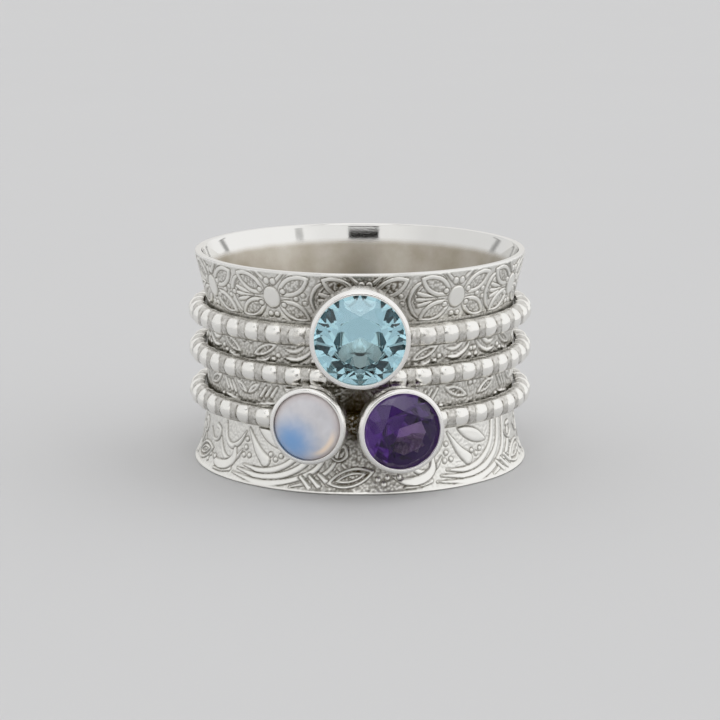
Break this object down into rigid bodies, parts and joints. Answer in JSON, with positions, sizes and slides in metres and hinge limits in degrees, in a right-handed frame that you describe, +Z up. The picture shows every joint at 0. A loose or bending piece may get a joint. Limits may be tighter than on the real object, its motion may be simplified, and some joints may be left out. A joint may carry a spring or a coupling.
{
  "type": "wide spinner ring",
  "caption": "Wide flared finger ring with raised floral ornament and freely turning beaded wires that carry round bezel-set stones.",
  "frame": {"origin": "centre of the bounding box's base, on the surface that the lower rim rests on; the finger hole's axis stands behind it, at +Y", "axes": "+Z up along the finger hole's axis, from the lower rim to the upper one; the stones face -Y; +X to the right of someone who looks at the stones"},
  "size_m": [0.0228, 0.0254, 0.014],
  "materials": {
    "oxidised_silver": "cast sterling silver, satin polished on the raised ornament and darkened in its recesses",
    "bright_silver": "polished sterling silver with darker recesses between the beads",
    "blue_topaz": "sky-blue faceted topaz, polished",
    "purple_amethyst": "deep purple faceted amethyst, polished",
    "milky_moonstone": "milky domed moonstone with a blue glow, polished"
  },
  "bodies": {
    "band": {"wide_band": "oxidised_silver"},
    "top_ring": {"top_spinner": "bright_silver", "topaz": "blue_topaz"},
    "middle_ring": {"middle_spinner": "bright_silver"},
    "bottom_ring": {"bottom_spinner": "bright_silver", "amethyst": "purple_amethyst", "moonstone": "milky_moonstone"}
  },
  "joints": [
    {"name": "top_spin", "type": "hinge", "parent": "band", "child": "top_ring", "pos_m": [0, 0.00128, 0.01002], "axis": [0, 0, 1], "continuous": true},
    {"name": "middle_spin", "type": "hinge", "parent": "band", "child": "middle_ring", "pos_m": [0, 0.00128, 0.00746], "axis": [0, 0, 1], "continuous": true},
    {"name": "bottom_spin", "type": "hinge", "parent": "band", "child": "bottom_ring", "pos_m": [0, 0.00128, 0.0046], "axis": [0, 0, 1], "continuous": true}
  ]
}
